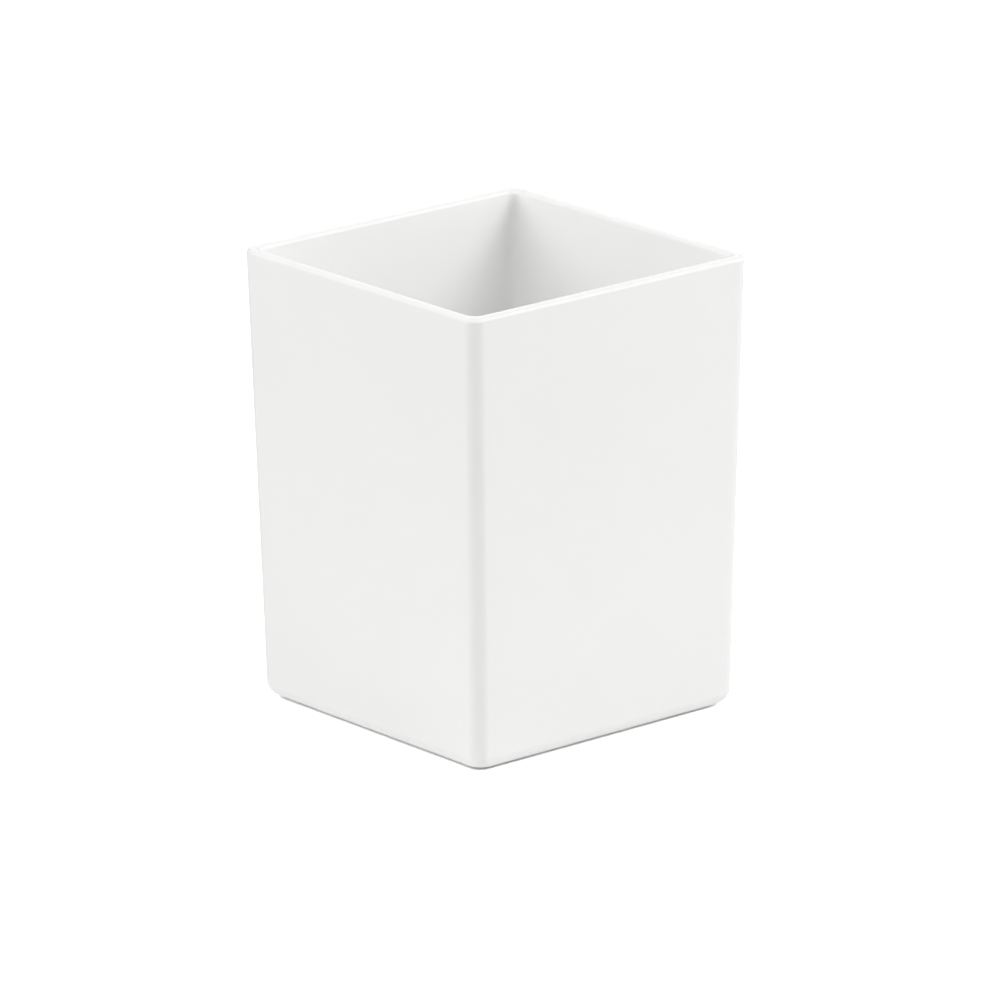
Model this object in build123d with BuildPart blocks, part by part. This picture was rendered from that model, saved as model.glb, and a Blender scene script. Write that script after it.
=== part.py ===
from build123d import *
import math
import os

# Square pen holder cup, millimetres, +Z up.
# Origin: centre of the square footprint, on the plane the feet stand on.

# ---- driving dimensions -------------------------------------------------
total_height = 100.0        # from the table to the top of the lip
rim_width = 76.5            # outside, across the flats, at the lip
draft = 1.28                # degrees per side, wider at the top
wall = 2.4                  # wall thickness, the same all the way down
floor_thickness = 2.8
corner_radius = 3.2         # upright edges, outside
inner_corner_radius = 2.0   # upright edges, inside
base_radius = 3.2           # outside edge round the bottom
floor_radius = 1.8          # inside edge where the walls meet the floor
lip_radius = 1.1            # both edges of the lip

foot_diameter = 8.0
foot_height = 1.05          # whole thickness of one rubber foot
foot_edge_radius = 0.25     # softened edge that touches the table
standoff = 0.4              # how far the feet hold the cup off the table
foot_inset = 10.0           # foot centre to the side of the base
adhesive_thickness = 0.15
adhesive_diameter = 7.6
recess_diameter = 8.6       # shallow seat for each foot

relief_width = 44.0         # recessed panel in the middle of the underside
relief_depth = 0.4
relief_corner_radius = 3.0
gate_dimple_diameter = 5.0  # where the plastic was fed in
gate_dimple_depth = 0.5
gate_stub_diameter = 1.4
gate_stub_height = 0.3      # trimmed stub left inside the dimple

# ---- sizes that follow --------------------------------------------------
slope = math.tan(math.radians(draft))
body_height = total_height - standoff
base_width = rim_width - 2 * body_height * slope
floor_top = standoff + floor_thickness
cavity_height = total_height - floor_top
cavity_width = rim_width - 2 * wall - 2 * cavity_height * slope
foot_offset = base_width / 2 - foot_inset
recess_depth = foot_height + adhesive_thickness - standoff
relief_top = standoff + relief_depth

foot_places = {
    "front_left": (-foot_offset, -foot_offset),
    "front_right": (foot_offset, -foot_offset),
    "rear_left": (-foot_offset, foot_offset),
    "rear_right": (foot_offset, foot_offset),
}

os.makedirs("parts", exist_ok=True)

# ---- the hollow of the cup ----------------------------------------------
# The shape of the moulding core: a drafted square block with rounded uprights
# and a rounded edge round its foot.
with BuildPart() as cavity:
    with BuildSketch(Plane.XY.offset(floor_top)):
        Rectangle(cavity_width, cavity_width)
    extrude(amount=cavity_height, taper=-draft)
    fillet(cavity.edges().filter_by(Plane.XY, reverse=True), radius=inner_corner_radius)
    fillet(cavity.faces().sort_by(Axis.Z)[0].edges(), radius=floor_radius)

# ---- cup body -----------------------------------------------------------
# One moulding: four drafted walls and the floor, with a soft lip.
with BuildPart() as cup_body:
    with BuildSketch(Plane.XY.offset(standoff)):
        Rectangle(base_width, base_width)
    extrude(amount=body_height, taper=-draft)
    fillet(cup_body.edges().filter_by(Plane.XY, reverse=True), radius=corner_radius)
    fillet(cup_body.faces().sort_by(Axis.Z)[0].edges(), radius=base_radius)
    add(cavity.part, mode=Mode.SUBTRACT)
    fillet(cup_body.faces().sort_by(Axis.Z)[-1].edges(), radius=lip_radius)

    # underside: seats for the feet
    with BuildSketch(Plane.XY.offset(standoff)):
        with Locations(*foot_places.values()):
            Circle(recess_diameter / 2)
    extrude(amount=recess_depth, mode=Mode.SUBTRACT)

    # underside: recessed panel, with the feed point in its middle
    with BuildSketch(Plane.XY.offset(standoff)):
        RectangleRounded(relief_width, relief_width, relief_corner_radius)
    extrude(amount=relief_depth, mode=Mode.SUBTRACT)
    with BuildSketch(Plane.XY.offset(relief_top)):
        Circle(gate_dimple_diameter / 2)
        Circle(gate_stub_diameter / 2, mode=Mode.SUBTRACT)
    extrude(amount=gate_dimple_depth, mode=Mode.SUBTRACT)
    with BuildSketch(Plane.XY.offset(relief_top)):
        Circle(gate_stub_diameter / 2)
    extrude(amount=gate_dimple_depth - gate_stub_height, mode=Mode.SUBTRACT)
cup_body.part.label = "cup_body"
export_step(cup_body.part, "parts/cup_body.step")


def make_foot(place, x, y):
    """A low round rubber foot, flat on the table, its edge softened."""
    with BuildPart() as foot:
        with BuildSketch(Plane.XY):
            with Locations((x, y)):
                Circle(foot_diameter / 2)
        extrude(amount=foot_height)
        fillet(foot.edges().sort_by(Axis.Z)[0], radius=foot_edge_radius)
    foot.part.label = "foot_" + place
    export_step(foot.part, "parts/" + foot.part.label + ".step")


def make_adhesive_disc(place, x, y):
    """The double-sided film that holds a foot in its seat."""
    with BuildPart() as film:
        with BuildSketch(Plane.XY.offset(foot_height)):
            with Locations((x, y)):
                Circle(adhesive_diameter / 2)
        extrude(amount=adhesive_thickness)
    film.part.label = "adhesive_disc_" + place
    export_step(film.part, "parts/" + film.part.label + ".step")


for place, (x, y) in foot_places.items():
    make_foot(place, x, y)
    make_adhesive_disc(place, x, y)

print("base width %.2f  cavity at floor %.2f  foot centres +-%.2f" % (base_width, cavity_width, foot_offset))
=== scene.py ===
import math

import bmesh
import bpy
from mathutils import Matrix, Vector


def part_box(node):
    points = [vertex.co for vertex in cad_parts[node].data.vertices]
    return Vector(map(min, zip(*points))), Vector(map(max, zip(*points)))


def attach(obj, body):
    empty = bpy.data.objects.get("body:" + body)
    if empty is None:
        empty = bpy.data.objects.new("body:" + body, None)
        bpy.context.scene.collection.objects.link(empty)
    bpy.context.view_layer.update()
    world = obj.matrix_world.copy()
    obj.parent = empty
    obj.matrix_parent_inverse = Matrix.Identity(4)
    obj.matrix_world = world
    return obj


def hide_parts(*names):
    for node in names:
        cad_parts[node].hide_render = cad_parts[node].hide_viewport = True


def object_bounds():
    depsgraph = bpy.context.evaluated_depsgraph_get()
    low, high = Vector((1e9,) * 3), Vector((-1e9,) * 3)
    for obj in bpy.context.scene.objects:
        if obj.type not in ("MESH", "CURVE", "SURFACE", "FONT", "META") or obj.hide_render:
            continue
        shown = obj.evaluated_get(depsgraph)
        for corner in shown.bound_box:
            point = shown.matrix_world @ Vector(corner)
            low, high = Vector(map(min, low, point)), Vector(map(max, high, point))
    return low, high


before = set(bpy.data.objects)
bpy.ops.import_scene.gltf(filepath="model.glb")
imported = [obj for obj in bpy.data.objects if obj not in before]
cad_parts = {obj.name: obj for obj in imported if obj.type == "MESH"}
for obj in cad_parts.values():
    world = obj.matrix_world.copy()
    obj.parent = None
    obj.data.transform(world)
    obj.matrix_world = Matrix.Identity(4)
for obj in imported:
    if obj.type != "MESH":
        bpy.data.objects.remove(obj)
cad_low, cad_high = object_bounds()

MM = 0.001
MM_PER_METRE = 1000.0

# ---- the cup's driving sizes, metres --------------------------------------
body_low, body_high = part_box("cup_body")
top = body_high.z
underside = body_low.z
rim_half = 38.25 * MM           # outside half width at the lip, before its edge is rounded
draft = math.radians(1.28)      # how far each wall leans out
slope = math.tan(draft)
wall = 2.4 * MM
corner_radius = 3.2 * MM        # upright edges, outside
inner_corner_radius = 2.0 * MM  # upright edges, inside
base_radius = 3.2 * MM          # round the bottom edge
floor_radius = 1.8 * MM         # inside, where walls meet floor
lip_radius = 1.1 * MM           # both edges of the lip
floor_thickness = 2.8 * MM
floor_top = underside + floor_thickness

relief_half = 22.0 * MM
relief_depth = 0.4 * MM
relief_corner_radius = 3.0 * MM
recess_radius = 4.3 * MM
recess_edge = 0.12 * MM         # softened edge of every recess
gate_radius = 2.5 * MM
gate_depth = 0.5 * MM
stub_radius = 0.7 * MM
stub_gap = 0.2 * MM             # from the recessed panel up to the trimmed stub's end
stub_taper = 0.9                # width of the stub's end against its root

CORNER_STEPS = 14               # facets round each upright corner
ROUND_STEPS = 8                 # facets across a rounded edge
MOUTH_STEPS = 4                 # facets across the softened mouth of a recess
CIRCLE_STEPS = 72               # facets round a circle
WALL_ROWS = 12                  # rows of faces up a wall
SHARP_DEGREES = 40              # edges bent more than this are shaded sharp
FLAT_WEIGHT = 100               # lets the large flats set the shading next to them

places = ("front_left", "front_right", "rear_left", "rear_right")


# ---- outlines ------------------------------------------------------------
def rounded_square(half, radius):
    """Points of a square with rounded corners, anticlockwise."""
    centre = half - radius
    points = []
    for quarter in range(4):
        turn = quarter * math.pi / 2
        cx = centre * (math.cos(turn) - math.sin(turn))
        cy = centre * (math.sin(turn) + math.cos(turn))
        for step in range(CORNER_STEPS + 1):
            angle = turn + step / CORNER_STEPS * math.pi / 2
            points.append((cx + radius * math.cos(angle), cy + radius * math.sin(angle)))
    return points


def circle(radius, x=0.0, y=0.0):
    """Points of a circle, anticlockwise."""
    points = []
    for step in range(CIRCLE_STEPS):
        angle = step / CIRCLE_STEPS * 2 * math.pi
        points.append((x + radius * math.cos(angle), y + radius * math.sin(angle)))
    return points


def outer_half(z):
    """Half the outside width at height z."""
    return rim_half - (top - z) * slope


def inner_half(z):
    """Half the inside width at height z."""
    return rim_half - wall - (top - z) * slope


def arc(start, end, steps=ROUND_STEPS):
    """Even angles from start to end, both included."""
    return [start + (end - start) * step / steps for step in range(steps + 1)]


# ---- mesh helpers ----------------------------------------------------------
def loop(mesh, points, z):
    """Vertices at height z, one for each plan point."""
    return [mesh.verts.new((x, y, z)) for x, y in points]


def bridge(mesh, lower, upper):
    """Quads between two loops of the same length."""
    count = len(lower)
    for i in range(count):
        j = (i + 1) % count
        mesh.faces.new((lower[i], lower[j], upper[j], upper[i]))


def flat_fill(mesh, outer, holes=()):
    """A flat face inside outer, with holes left open."""
    edges = []
    for ring in (outer, *holes):
        for i, vert in enumerate(ring):
            pair = (vert, ring[(i + 1) % len(ring)])
            edges.append(mesh.edges.get(pair) or mesh.edges.new(pair))
    bmesh.ops.triangle_fill(mesh, use_beauty=True, use_dissolve=False, edges=edges)


def sunk(mesh, outline, size, z, depth, edge):
    """A recess let into an underside at z: its mouth loop and its end loop.

    outline(size) gives the plan shape, and the mouth has a softened edge.
    """
    mouth = None
    last = None
    for angle in arc(0, math.pi / 2, MOUTH_STEPS):
        spread = edge * (1 - math.sin(angle))
        rise = edge * (1 - math.cos(angle))
        ring = loop(mesh, outline(size + spread), z + rise)
        if last:
            bridge(mesh, ring, last)
        else:
            mouth = ring
        last = ring
    end = loop(mesh, outline(size), z + depth)
    bridge(mesh, end, last)
    return mouth, end


def finish_mesh(name, mesh):
    """Makes an object of the bmesh, smooth-shaded with its flats kept flat."""
    bmesh.ops.recalc_face_normals(mesh, faces=mesh.faces)
    data = bpy.data.meshes.new(name)
    mesh.to_mesh(data)
    mesh.free()
    for polygon in data.polygons:
        polygon.use_smooth = True
    data.set_sharp_from_angle(angle=math.radians(SHARP_DEGREES))
    piece = bpy.data.objects.new(name, data)
    bpy.context.scene.collection.objects.link(piece)
    weighted = piece.modifiers.new("flat faces stay flat", "WEIGHTED_NORMAL")
    weighted.keep_sharp = True
    weighted.weight = FLAT_WEIGHT
    return piece


# ---- the cup ---------------------------------------------------------------
def cup_profile():
    """Every ring of the cup from the outside of its base, over the lip and down to the floor.

    Each ring is (half width, corner radius, height).
    """
    rings = []
    # bottom edge, rounding out to the wall; the upright corners keep their radius round it
    centre_z = underside + base_radius
    centre_x = outer_half(centre_z) - base_radius / math.cos(draft)
    for angle in arc(-math.pi / 2, -draft):
        half = centre_x + base_radius * math.cos(angle)
        rings.append((half, corner_radius, centre_z + base_radius * math.sin(angle)))
    # outside wall
    wall_low, wall_high = rings[-1][2], top - lip_radius
    for row in range(1, WALL_ROWS):
        z = wall_low + (wall_high - wall_low) * row / WALL_ROWS
        rings.append((outer_half(z), corner_radius, z))
    # lip, outer edge
    centre_z = top - lip_radius
    centre_x = outer_half(centre_z) - lip_radius / math.cos(draft)
    for angle in arc(-draft, math.pi / 2):
        half = centre_x + lip_radius * math.cos(angle)
        inset = outer_half(centre_z) - half
        rings.append((half, corner_radius - inset, centre_z + lip_radius * math.sin(angle)))
    # lip, inner edge
    centre_x = inner_half(centre_z) + lip_radius / math.cos(draft)
    for angle in arc(math.pi / 2, math.pi - draft):
        half = centre_x + lip_radius * math.cos(angle)
        spread = half - inner_half(centre_z)
        rings.append((half, inner_corner_radius + spread, centre_z + lip_radius * math.sin(angle)))
    # inside wall
    wall_low, wall_high = floor_top + floor_radius, top - lip_radius
    for row in range(1, WALL_ROWS):
        z = wall_high + (wall_low - wall_high) * row / WALL_ROWS
        rings.append((inner_half(z), inner_corner_radius, z))
    # inside, where the walls meet the floor
    centre_z = floor_top + floor_radius
    centre_x = inner_half(centre_z) - floor_radius / math.cos(draft)
    for angle in arc(math.pi - draft, math.pi / 2):
        half = centre_x - floor_radius * math.cos(angle)
        inset = inner_half(centre_z) - half
        rings.append((half, inner_corner_radius - inset, centre_z - floor_radius * math.sin(angle)))
    return rings


def make_cup():
    """The whole moulding as one closed mesh, in place of the plain cup body."""
    mesh = bmesh.new()
    loops = []
    for half, radius, z in cup_profile():
        loops.append(loop(mesh, rounded_square(half, radius), z))
    for lower, upper in zip(loops, loops[1:]):
        bridge(mesh, lower, upper)
    flat_fill(mesh, loops[-1])

    # underside: seats for the feet and the recessed panel
    mouths = []
    for place in places:
        low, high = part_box("adhesive_disc_" + place)
        x, y = (low.x + high.x) / 2, (low.y + high.y) / 2
        depth = high.z - underside
        mouth, end = sunk(mesh, lambda r: circle(r, x, y), recess_radius, underside, depth, recess_edge)
        flat_fill(mesh, end)
        mouths.append(mouth)
    panel, panel_end = sunk(
        mesh, lambda r: rounded_square(r, relief_corner_radius + r - relief_half),
        relief_half, underside, relief_depth, recess_edge)
    mouths.append(panel)
    flat_fill(mesh, loops[0], mouths)

    # the dimple where the plastic was fed in, with its trimmed stub
    panel_z = underside + relief_depth
    dimple, dimple_end = sunk(mesh, circle, gate_radius, panel_z, gate_depth, recess_edge)
    flat_fill(mesh, panel_end, [dimple])
    stub_root = loop(mesh, circle(stub_radius), panel_z + gate_depth)
    stub_end = loop(mesh, circle(stub_radius * stub_taper), panel_z + stub_gap)
    flat_fill(mesh, dimple_end, [stub_root])
    bridge(mesh, stub_end, stub_root)
    flat_fill(mesh, stub_end)

    cup = finish_mesh("cup_shell", mesh)
    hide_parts("cup_body")
    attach(cup, "root")
    return cup


# ---- shader groups -----------------------------------------------------------
class Wiring:
    """Short calls for building a node tree."""

    def __init__(self, tree):
        self.tree = tree

    def add(self, kind, **settings):
        made = self.tree.nodes.new(kind)
        for key, value in settings.items():
            setattr(made, key, value)
        return made

    def join(self, source, target):
        self.tree.links.new(source, target)

    def math(self, operation, a, b=None, clamp=False):
        made = self.add("ShaderNodeMath", operation=operation, use_clamp=clamp)
        for socket, value in zip(made.inputs, (a, b)):
            if value is None:
                continue
            if isinstance(value, (int, float)):
                socket.default_value = value
            else:
                self.join(value, socket)
        return made.outputs[0]

    def spread(self, value, low, high, new_low, new_high):
        """value from low..high to new_low..new_high, held at the ends."""
        made = self.add("ShaderNodeMapRange")
        self.join(value, made.inputs["Value"])
        limits = {"From Min": low, "From Max": high, "To Min": new_low, "To Max": new_high}
        for name, number in limits.items():
            if isinstance(number, (int, float)):
                made.inputs[name].default_value = number
            else:
                self.join(number, made.inputs[name])
        return made.outputs["Result"]


def new_group(name, inputs, outputs):
    """An empty shader node group with these named inputs and outputs."""
    tree = bpy.data.node_groups.new(name, "ShaderNodeTree")
    for label, default in inputs.items():
        socket = tree.interface.new_socket(label, in_out="INPUT", socket_type="NodeSocketFloat")
        socket.default_value = default
    for label in outputs:
        tree.interface.new_socket(label, in_out="OUTPUT", socket_type="NodeSocketFloat")
    wiring = Wiring(tree)
    source = wiring.add("NodeGroupInput")
    result = wiring.add("NodeGroupOutput")
    return wiring, source.outputs, result.inputs


GRAINS_PER_SWELL = 14.0  # how many grains wide one swell of the surface is


def mould_texture_group():
    """Fine spark-eroded grain that a mould leaves on plastic or rubber."""
    wiring, given, result = new_group("mould_texture", {"Grain Size mm": 0.2, "Waviness": 0.3}, ["Height"])
    place = wiring.add("ShaderNodeTexCoord").outputs["Object"]
    per_metre = wiring.math("DIVIDE", MM_PER_METRE, given["Grain Size mm"])
    grain = wiring.add("ShaderNodeTexNoise", noise_dimensions="3D")
    grain.inputs["Detail"].default_value = 3.0
    grain.inputs["Roughness"].default_value = 0.6
    wiring.join(place, grain.inputs["Vector"])
    wiring.join(per_metre, grain.inputs["Scale"])
    wave = wiring.add("ShaderNodeTexNoise", noise_dimensions="3D")
    wave.inputs["Detail"].default_value = 1.0
    wiring.join(place, wave.inputs["Vector"])
    wiring.join(wiring.math("DIVIDE", per_metre, GRAINS_PER_SWELL), wave.inputs["Scale"])
    swell = wiring.math("MULTIPLY", wave.outputs["Fac"], given["Waviness"])
    wiring.join(wiring.math("ADD", grain.outputs["Fac"], swell), result["Height"])
    return wiring.tree


def handling_group():
    """Where hands and sleeves have buffed or smudged a surface."""
    wiring, given, result = new_group("handling", {"Patch Size mm": 25.0, "Contrast": 0.5}, ["Mask"])
    place = wiring.add("ShaderNodeTexCoord").outputs["Object"]
    patch = wiring.add("ShaderNodeTexNoise", noise_dimensions="3D")
    patch.inputs["Detail"].default_value = 4.0
    patch.inputs["Roughness"].default_value = 0.55
    patch.inputs["Distortion"].default_value = 0.6
    wiring.join(place, patch.inputs["Vector"])
    wiring.join(wiring.math("DIVIDE", MM_PER_METRE, given["Patch Size mm"]), patch.inputs["Scale"])
    half = wiring.math("MULTIPLY", given["Contrast"], 0.25)
    low = wiring.math("ADD", half, 0.25)
    high = wiring.math("SUBTRACT", 0.75, half)
    wiring.join(wiring.spread(patch.outputs["Fac"], low, high, 0.0, 1.0), result["Mask"])
    return wiring.tree


def edge_group():
    """Picks out edges within a given radius, where finishing and wear show first."""
    wiring, given, result = new_group("edge_rub", {"Reach mm": 0.8, "Breakup": 0.5}, ["Mask"])
    bevel = wiring.add("ShaderNodeBevel", samples=6)
    wiring.join(wiring.math("MULTIPLY", given["Reach mm"], MM), bevel.inputs["Radius"])
    plain = wiring.add("ShaderNodeNewGeometry").outputs["Normal"]
    agree = wiring.add("ShaderNodeVectorMath", operation="DOT_PRODUCT")
    wiring.join(bevel.outputs["Normal"], agree.inputs[0])
    wiring.join(plain, agree.inputs[1])
    edge = wiring.spread(agree.outputs["Value"], 0.995, 0.9, 0.0, 1.0)
    place = wiring.add("ShaderNodeTexCoord").outputs["Object"]
    broken = wiring.add("ShaderNodeTexNoise", noise_dimensions="3D")
    broken.inputs["Scale"].default_value = 350.0
    broken.inputs["Detail"].default_value = 3.0
    wiring.join(place, broken.inputs["Vector"])
    keep = wiring.math("SUBTRACT", 1.0, wiring.math("MULTIPLY", given["Breakup"], broken.outputs["Fac"]))
    wiring.join(wiring.math("MULTIPLY", edge, keep, clamp=True), result["Mask"])
    return wiring.tree


def dust_group():
    """Fine dust that settles on what faces up."""
    wiring, given, result = new_group("settled_dust", {"Amount": 0.2, "Speck Size mm": 0.6}, ["Mask"])
    geometry = wiring.add("ShaderNodeNewGeometry")
    split = wiring.add("ShaderNodeSeparateXYZ")
    wiring.join(geometry.outputs["Normal"], split.inputs[0])
    up = wiring.spread(split.outputs["Z"], 0.6, 0.98, 0.0, 1.0)
    place = wiring.add("ShaderNodeTexCoord").outputs["Object"]
    speck = wiring.add("ShaderNodeTexNoise", noise_dimensions="3D")
    speck.inputs["Detail"].default_value = 5.0
    speck.inputs["Roughness"].default_value = 0.7
    wiring.join(place, speck.inputs["Vector"])
    wiring.join(wiring.math("DIVIDE", MM_PER_METRE, given["Speck Size mm"]), speck.inputs["Scale"])
    cover = wiring.spread(speck.outputs["Fac"], 0.45, 0.7, 0.0, 1.0)
    settled = wiring.math("MULTIPLY", up, cover)
    wiring.join(wiring.math("MULTIPLY", settled, given["Amount"]), result["Mask"])
    return wiring.tree


GROUPS = {
    "mould_texture": mould_texture_group(),
    "handling": handling_group(),
    "edge_rub": edge_group(),
    "settled_dust": dust_group(),
}


def use_group(wiring, name, **values):
    """Places a group with its own values; underscores in a value's name stand for spaces."""
    made = wiring.add("ShaderNodeGroup", node_tree=GROUPS[name])
    for key, value in values.items():
        made.inputs[key.replace("_", " ")].default_value = value
    return made.outputs


def blend_colours(wiring, amount, first, second):
    """first where amount is 0 and second where it is 1; each a colour or a socket."""
    made = wiring.add("ShaderNodeMix", data_type="RGBA")
    wiring.join(amount, made.inputs["Factor"])
    for label, colour in (("A", first), ("B", second)):
        socket = [s for s in made.inputs if s.name == label and s.type == "RGBA"][0]
        if isinstance(colour, tuple):
            socket.default_value = (*colour, 1.0)
        else:
            wiring.join(colour, socket)
    return [s for s in made.outputs if s.type == "RGBA"][0]


def new_material(name):
    """A material of one Principled shader: the material, its wiring and the shader's inputs."""
    material = bpy.data.materials.new(name)
    material.use_nodes = True
    wiring = Wiring(material.node_tree)
    wiring.tree.nodes.clear()
    shader = wiring.add("ShaderNodeBsdfPrincipled")
    output = wiring.add("ShaderNodeOutputMaterial")
    wiring.join(shader.outputs["BSDF"], output.inputs["Surface"])
    return material, wiring, shader.inputs


def add_bump(wiring, shader, height, strength, distance):
    """Raises the shader's surface by height, up to distance in metres."""
    bump = wiring.add("ShaderNodeBump")
    bump.inputs["Strength"].default_value = strength
    bump.inputs["Distance"].default_value = distance
    wiring.join(height, bump.inputs["Height"])
    wiring.join(bump.outputs["Normal"], shader["Normal"])


# ---- materials ---------------------------------------------------------------
def white_abs():
    """Neutral white moulded plastic, satin, with a very fine mould texture."""
    material, wiring, shader = new_material("white_abs_satin")
    texture = use_group(wiring, "mould_texture", Grain_Size_mm=0.16, Waviness=0.25)
    hands = use_group(wiring, "handling", Patch_Size_mm=28.0, Contrast=0.4)
    edges = use_group(wiring, "edge_rub", Reach_mm=0.7, Breakup=0.6)
    dust = use_group(wiring, "settled_dust", Amount=0.12, Speck_Size_mm=0.7)
    plastic = blend_colours(wiring, hands["Mask"], (0.868, 0.867, 0.861), (0.862, 0.861, 0.853))
    rubbed = blend_colours(wiring, edges["Mask"], plastic, (0.88, 0.88, 0.878))
    dusty = blend_colours(wiring, dust["Mask"], rubbed, (0.7, 0.69, 0.67))
    wiring.join(dusty, shader["Base Color"])
    satin = wiring.spread(hands["Mask"], 0.0, 1.0, 0.46, 0.42)
    satin = wiring.math("SUBTRACT", satin, wiring.math("MULTIPLY", edges["Mask"], 0.04))
    wiring.join(wiring.math("ADD", satin, wiring.math("MULTIPLY", dust["Mask"], 0.4)), shader["Roughness"])
    shader["IOR"].default_value = 1.5
    add_bump(wiring, shader, texture["Height"], 0.12, 0.02 * MM)
    return material


def foot_rubber():
    """Soft grey elastomer, matt, with a moulded grain."""
    material, wiring, shader = new_material("foot_rubber_grey")
    texture = use_group(wiring, "mould_texture", Grain_Size_mm=0.3, Waviness=0.6)
    hands = use_group(wiring, "handling", Patch_Size_mm=4.0, Contrast=0.7)
    edges = use_group(wiring, "edge_rub", Reach_mm=0.2, Breakup=0.8)
    rubber = blend_colours(wiring, hands["Mask"], (0.09, 0.09, 0.095), (0.13, 0.13, 0.13))
    worn = blend_colours(wiring, edges["Mask"], rubber, (0.2, 0.2, 0.2))
    wiring.join(worn, shader["Base Color"])
    wiring.join(wiring.spread(hands["Mask"], 0.0, 1.0, 0.62, 0.78), shader["Roughness"])
    add_bump(wiring, shader, texture["Height"], 0.35, 0.05 * MM)
    return material


def adhesive_film():
    """Thin milky acrylic film."""
    material, wiring, shader = new_material("adhesive_film_milky")
    texture = use_group(wiring, "mould_texture", Grain_Size_mm=0.5, Waviness=0.8)
    patches = use_group(wiring, "handling", Patch_Size_mm=2.0, Contrast=0.6)
    film = blend_colours(wiring, patches["Mask"], (0.72, 0.7, 0.62), (0.8, 0.79, 0.74))
    wiring.join(film, shader["Base Color"])
    wiring.join(wiring.spread(patches["Mask"], 0.0, 1.0, 0.3, 0.45), shader["Roughness"])
    add_bump(wiring, shader, texture["Height"], 0.2, 0.05 * MM)
    return material


def paint(piece, material):
    """Gives the whole piece one material."""
    piece.data.materials.clear()
    piece.data.materials.append(material)


# ---- stage -----------------------------------------------------------------
FLOOR_REACH = 6.0       # metres from the cup to the floor's edge
# the next four numbers paint a pool of light on the floor: it returns more light near the cup and less
# away from it, in place of the lamps' light falling off, and only light bouncing onto the cup meets it
FLOOR_ALBEDO = 0.6      # how much light it returns near the cup
FLOOR_FAR_ALBEDO = 0.25  # and away from it
FLOOR_NEAR = 0.12       # metres from the cup where it starts to darken
FLOOR_FAR = 0.45        # and where it has darkened fully
FLOOR_SEEN = 1.5        # what the camera sees of it, past pure white


def make_floor():
    """A plain pale floor, bright enough to read as pure white and clear from below, with a painted pool of
    light round the cup in the light that it bounces.
    """
    mesh = bmesh.new()
    reach = FLOOR_REACH
    floor_corners = ((-reach, -reach), (reach, -reach), (reach, reach), (-reach, reach))
    mesh.faces.new(loop(mesh, floor_corners, 0.0))
    data = bpy.data.meshes.new("floor")
    mesh.to_mesh(data)
    mesh.free()
    floor = bpy.data.objects.new("floor", data)
    bpy.context.scene.collection.objects.link(floor)

    material = bpy.data.materials.new("pale_sweep")
    material.use_nodes = True
    wiring = Wiring(material.node_tree)
    wiring.tree.nodes.clear()
    rays = wiring.add("ShaderNodeLightPath")
    facing = wiring.add("ShaderNodeNewGeometry")
    paper = wiring.add("ShaderNodeBsdfDiffuse")
    place = wiring.add("ShaderNodeTexCoord").outputs["Object"]
    away = wiring.add("ShaderNodeVectorMath", operation="LENGTH")
    wiring.join(place, away.inputs[0])
    # painted pool of light: the floor is brighter near the cup than away from it for bounce rays, while
    # camera rays see it evenly white
    floor_painted_light = wiring.spread(away.outputs["Value"], FLOOR_NEAR, FLOOR_FAR, FLOOR_ALBEDO, FLOOR_FAR_ALBEDO)
    shade = wiring.spread(rays.outputs["Is Camera Ray"], 0.0, 1.0, floor_painted_light, FLOOR_SEEN)
    wiring.join(shade, paper.inputs["Color"])
    clear = wiring.add("ShaderNodeBsdfTransparent")
    under = wiring.add("ShaderNodeMixShader")
    wiring.join(facing.outputs["Backfacing"], under.inputs["Fac"])
    wiring.join(paper.outputs["BSDF"], under.inputs[1])
    wiring.join(clear.outputs["BSDF"], under.inputs[2])
    output = wiring.add("ShaderNodeOutputMaterial")
    wiring.join(under.outputs["Shader"], output.inputs["Surface"])
    paint(floor, material)


def direction(azimuth, elevation):
    """Unit vector towards a place round the cup; azimuth 0 is in front of it and 90 to its right."""
    a, e = math.radians(azimuth), math.radians(elevation)
    return Vector((math.sin(a) * math.cos(e), -math.cos(a) * math.cos(e), math.sin(e)))


def area_lamp(name, width, height, power):
    """A rectangular lamp that the camera doesn't see."""
    light = bpy.data.lights.new(name, "AREA")
    light.shape = "RECTANGLE"
    light.size = width
    light.size_y = height
    light.energy = power
    lamp = bpy.data.objects.new(name, light)
    lamp.visible_camera = False
    bpy.context.scene.collection.objects.link(lamp)
    return lamp


def make_softbox(name, azimuth, elevation, power):
    """A softbox that faces the middle of the cup."""
    lamp = area_lamp(name, SOFTBOX_WIDTH, SOFTBOX_HEIGHT, power)
    cup_middle = Vector((0, 0, top / 2))
    lamp.location = direction(azimuth, elevation) * SOFTBOX_DISTANCE + cup_middle
    lamp.rotation_euler = (cup_middle - lamp.location).to_track_quat("-Z", "Y").to_euler()


def make_table_light(name, inner, outer, power):
    """One square frame of the light table that the cup stands on: four even strips that shine up.

    inner and outer are the frame's half widths, and power is shared out by area.
    """
    middle = (inner + outer) / 2
    strips = (
        ("left", -middle, 0.0, outer - inner, 2 * outer),
        ("right", middle, 0.0, outer - inner, 2 * outer),
        ("front", 0.0, -middle, 2 * inner, outer - inner),
        ("rear", 0.0, middle, 2 * inner, outer - inner),
    )
    whole = 4 * (outer * outer - inner * inner)
    for side, x, y, across, along in strips:
        lamp = area_lamp(name + "_" + side, across, along, power * across * along / whole)
        lamp.location = (x, y, TABLE_LIGHT_HEIGHT)
        lamp.rotation_euler = (math.pi, 0, 0)


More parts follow.
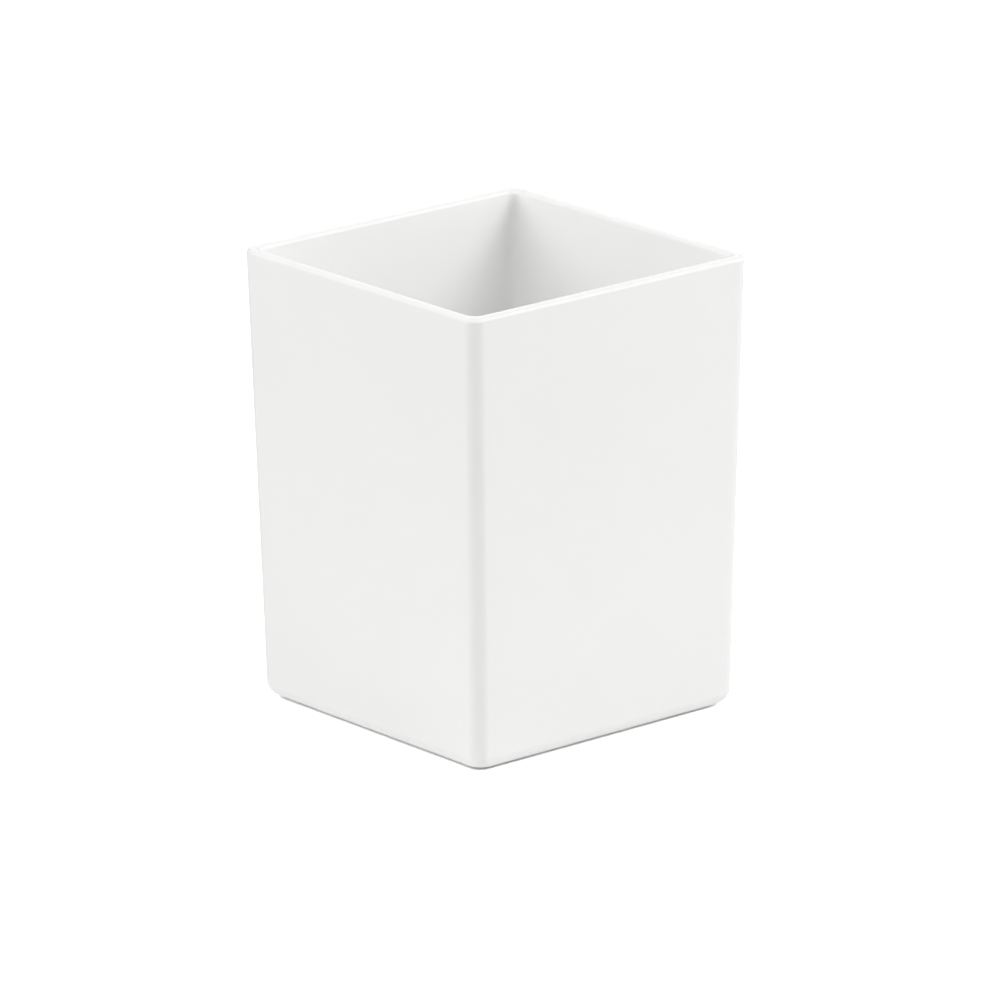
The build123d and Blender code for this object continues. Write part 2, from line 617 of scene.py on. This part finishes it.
def make_world():
    """White to the camera, and dark to everything else, so that only the lamps light the cup."""
    world = bpy.data.worlds.new("studio")
    world.use_nodes = True
    wiring = Wiring(world.node_tree)
    wiring.tree.nodes.clear()
    rays = wiring.add("ShaderNodeLightPath")
    sky = wiring.add("ShaderNodeBackground")
    sky.inputs["Color"].default_value = (1, 1, 1, 1)
    seen = wiring.spread(rays.outputs["Is Camera Ray"], 0.0, 1.0, WORLD_LIGHT, WORLD_SEEN)
    wiring.join(seen, sky.inputs["Strength"])
    output = wiring.add("ShaderNodeOutputWorld")
    wiring.join(sky.outputs["Background"], output.inputs["Surface"])
    bpy.context.scene.world = world


# ---- camera ----------------------------------------------------------------
VIEW_AZIMUTH = 49.85    # degrees round from the front, to the right
VIEW_ELEVATION = 16.96  # degrees
VIEW_ROLL = -0.42       # degrees
VIEW_DISTANCE = 1.922   # metres
VIEW_LENS = 325.1       # focal length, millimetres
SENSOR_WIDTH = 36.0     # millimetres
AIM_RIGHT = 0.73 * MM   # the aim point, to the right of the cup's middle as seen
AIM_UP = -4.82 * MM     # and above it
CLIP_START = 0.1        # metres
CLIP_END = 20.0         # metres


def make_camera():
    """The camera, aimed a little off the middle of the cup."""
    data = bpy.data.cameras.new("camera")
    data.sensor_width = SENSOR_WIDTH
    data.lens = VIEW_LENS
    data.clip_start = CLIP_START
    data.clip_end = CLIP_END
    camera = bpy.data.objects.new("camera", data)
    back = direction(VIEW_AZIMUTH, VIEW_ELEVATION)
    right = Vector((0, 0, 1)).cross(back).normalized()
    up = back.cross(right)
    aim = Vector((0, 0, (cad_low.z + cad_high.z) / 2)) + right * AIM_RIGHT + up * AIM_UP
    roll = math.radians(VIEW_ROLL)
    rolled_right = right * math.cos(roll) + up * math.sin(roll)
    rolled_up = up * math.cos(roll) - right * math.sin(roll)
    camera.location = aim + back * VIEW_DISTANCE
    camera.rotation_mode = "QUATERNION"
    camera.rotation_quaternion = Matrix((rolled_right, rolled_up, back)).transposed().to_quaternion()
    bpy.context.scene.collection.objects.link(camera)
    bpy.context.scene.camera = camera


# ---- everything in its place -------------------------------------------------
# softboxes round the cup: name, degrees round from the camera, elevation, power in watts
SOFTBOXES = [
    ("left_softbox", -110.0, 35.0, 3.5),
    ("left_side_low_softbox", -70.0, 10.0, 3.5),
    ("left_side_softbox", -70.0, 35.0, 3.0),
    ("left_front_softbox", -45.0, 35.0, 2.5),
    ("front_softbox", 0.0, 35.0, 4.5),
    ("right_side_softbox", 70.0, 35.0, 9.0),
    ("right_low_softbox", 110.0, 10.0, 5.5),
    ("rear_softbox", 180.0, 35.0, 4.5),
]
SOFTBOX_DISTANCE = 1.2  # metres
SOFTBOX_WIDTH = 0.75
SOFTBOX_HEIGHT = 0.6

# frames of light in the table, side by side: name, half widths inside and outside, power in watts
TABLE_LIGHTS = [
    ("table_light_under", 1.0 * MM, 32.0 * MM, 0.004),
    ("table_light_close", 34.5 * MM, 38.0 * MM, 0.0013),
    ("table_light_wide", 50.0 * MM, 150.0 * MM, 0.02),
    ("table_light_far", 150.0 * MM, 400.0 * MM, 0.05),
]
TABLE_LIGHT_HEIGHT = 0.05 * MM  # just clear of the floor

WORLD_LIGHT = 0.0  # what it gives the cup
WORLD_SEEN = 1.3   # what the camera sees of it, past pure white

cup = make_cup()
paint(cup, white_abs())
rubber = foot_rubber()
film = adhesive_film()
for place in places:
    paint(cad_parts["foot_" + place], rubber)
    paint(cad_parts["adhesive_disc_" + place], film)

make_floor()
for name, round_from_camera, elevation, power in SOFTBOXES:
    make_softbox(name, VIEW_AZIMUTH + round_from_camera, elevation, power)
for name, inner, outer, power in TABLE_LIGHTS:
    make_table_light(name, inner, outer, power)
make_world()
make_camera()
bpy.context.scene.view_settings.view_transform = "Standard"
